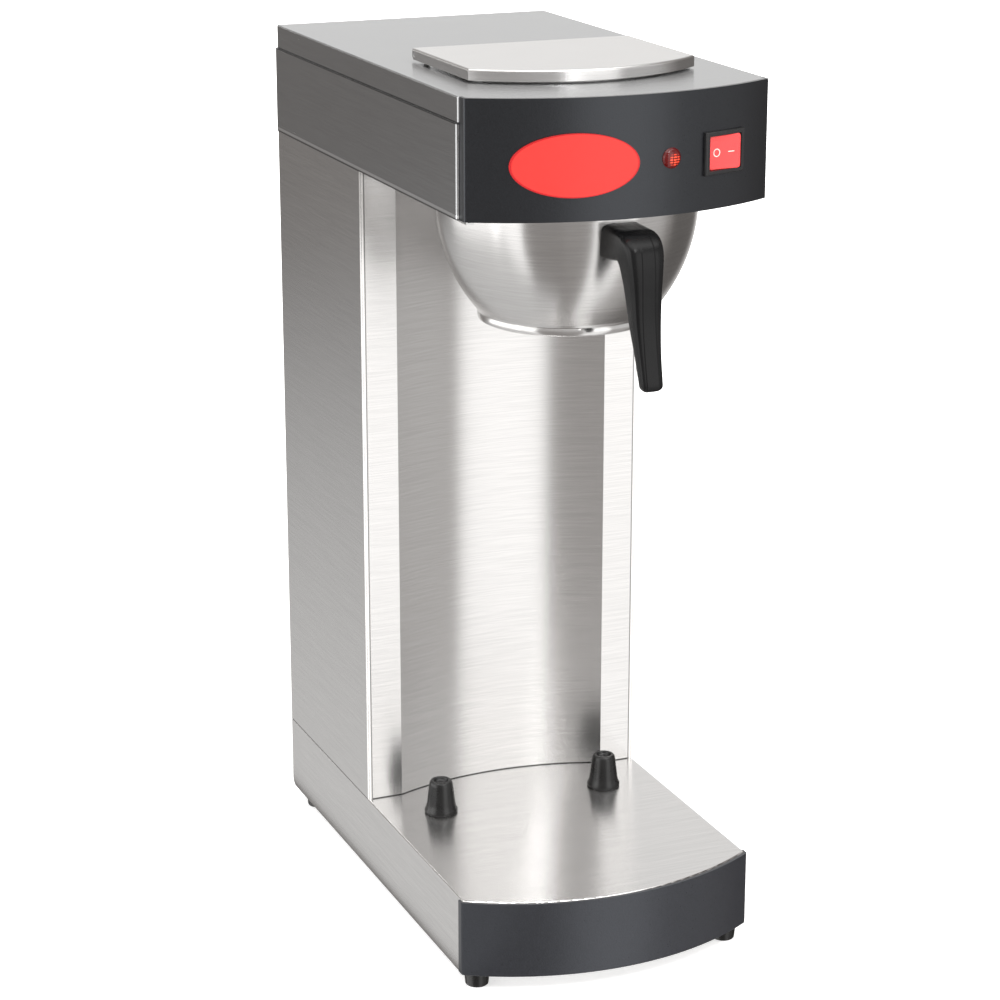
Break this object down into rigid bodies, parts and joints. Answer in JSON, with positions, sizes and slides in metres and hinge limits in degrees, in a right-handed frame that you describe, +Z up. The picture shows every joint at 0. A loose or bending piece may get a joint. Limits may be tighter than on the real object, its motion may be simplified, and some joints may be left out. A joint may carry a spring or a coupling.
{
  "type": "coffee brewer",
  "caption": "Pour-over airpot coffee brewer: steel base, column and head, hinged fill lid, slide-in brew funnel with handle, rocker switch and pilot lamp.",
  "frame": {"origin": "centre of the footprint box, on the surface the feet stand on", "axes": "+Z up, front with the control panel and funnel handle towards -Y, +X to the right seen from the front"},
  "size_m": [0.202, 0.4076, 0.5794],
  "materials": {
    "brushed_steel": "lengthwise brushed grain",
    "plain_steel": "mill finish",
    "spun_steel": "spun, satin rings",
    "wire_steel": "bright",
    "screw_steel": "zinc plated",
    "black_panel": "satin",
    "black_handle": "satin moulded",
    "black_rubber": "matte",
    "badge_red": "gloss",
    "lamp_red": "clear red",
    "switch_frame": "satin",
    "rocker_red": "gloss",
    "black_nylon": "matte",
    "brass": "turned",
    "silicone": "translucent white",
    "heater_sheath": "dull",
    "white_nylon": "matte",
    "lead_brown": "matte",
    "lead_orange": "matte",
    "lead_blue": "matte",
    "lead_green": "matte"
  },
  "bodies": {
    "brewer": {"airpot_peg_left": "black_rubber", "airpot_peg_right": "black_rubber", "badge": "badge_red", "base_front_panel": "black_panel", "base_plate": "plain_steel", "base_tray": "brushed_steel", "basin_strainer": "plain_steel", "column_back": "brushed_steel", "column_front_panel": "brushed_steel", "column_side_left": "brushed_steel", "column_side_right": "brushed_steel", "cord_gland": "black_nylon", "cover_screws": "screw_steel", "earth_lead": "lead_green", "earth_stud": "screw_steel", "feet": "black_rubber", "fill_hose": "silicone", "foot_screws": "screw_steel", "funnel_rail_left": "plain_steel", "funnel_rail_right": "plain_steel", "funnel_stop": "plain_steel", "gland_nut": "black_nylon", "head_body": "brushed_steel", "head_front_panel": "black_panel", "heating_element": "heater_sheath", "hinge_brackets": "plain_steel", "hinge_pins": "wire_steel", "hose_clips": "screw_steel", "lamp_clip": "screw_steel", "lamp_lens": "lamp_red", "lead_heater": "lead_orange", "lead_lamp": "lead_blue", "lead_live": "lead_brown", "lead_neutral": "lead_blue", "lid_bumpers": "black_rubber", "outlet_hose": "silicone", "peg_screws": "screw_steel", "pour_basin": "plain_steel", "rail_screws": "screw_steel", "rear_panel": "brushed_steel", "rear_panel_screws": "screw_steel", "spray_elbow": "brass", "spray_head": "plain_steel", "spray_nut": "brass", "switch_body": "switch_frame", "tank": "plain_steel", "tank_lid": "plain_steel", "tank_screws": "screw_steel", "tank_seal": "silicone", "tank_stand": "plain_steel", "terminal_block": "white_nylon", "thermal_cutout": "black_nylon", "thermostat": "black_nylon", "top_cover": "brushed_steel"},
    "fill_lid": {"lid": "brushed_steel"},
    "brew_funnel": {"funnel": "spun_steel", "funnel_handle": "black_handle", "handle_screws": "screw_steel", "filter_grid": "wire_steel"},
    "rocker": {"switch_rocker": "rocker_red"}
  },
  "joints": [
    {"name": "lid_hinge", "type": "hinge", "parent": "brewer", "child": "fill_lid", "pos_m": [0, -0.0068, 0.5756], "axis": [-1, 0, 0], "range_deg": [0, 95]},
    {"name": "funnel_slide", "type": "slide", "parent": "brewer", "child": "brew_funnel", "axis": [0, -1, 0], "range_m": [0, 0.18]},
    {"name": "rocker_tilt", "type": "hinge", "parent": "brewer", "child": "rocker", "pos_m": [0.06008, -0.16518, 0.5318], "axis": [0, 0, 1], "range_deg": [0, 18]}
  ]
}
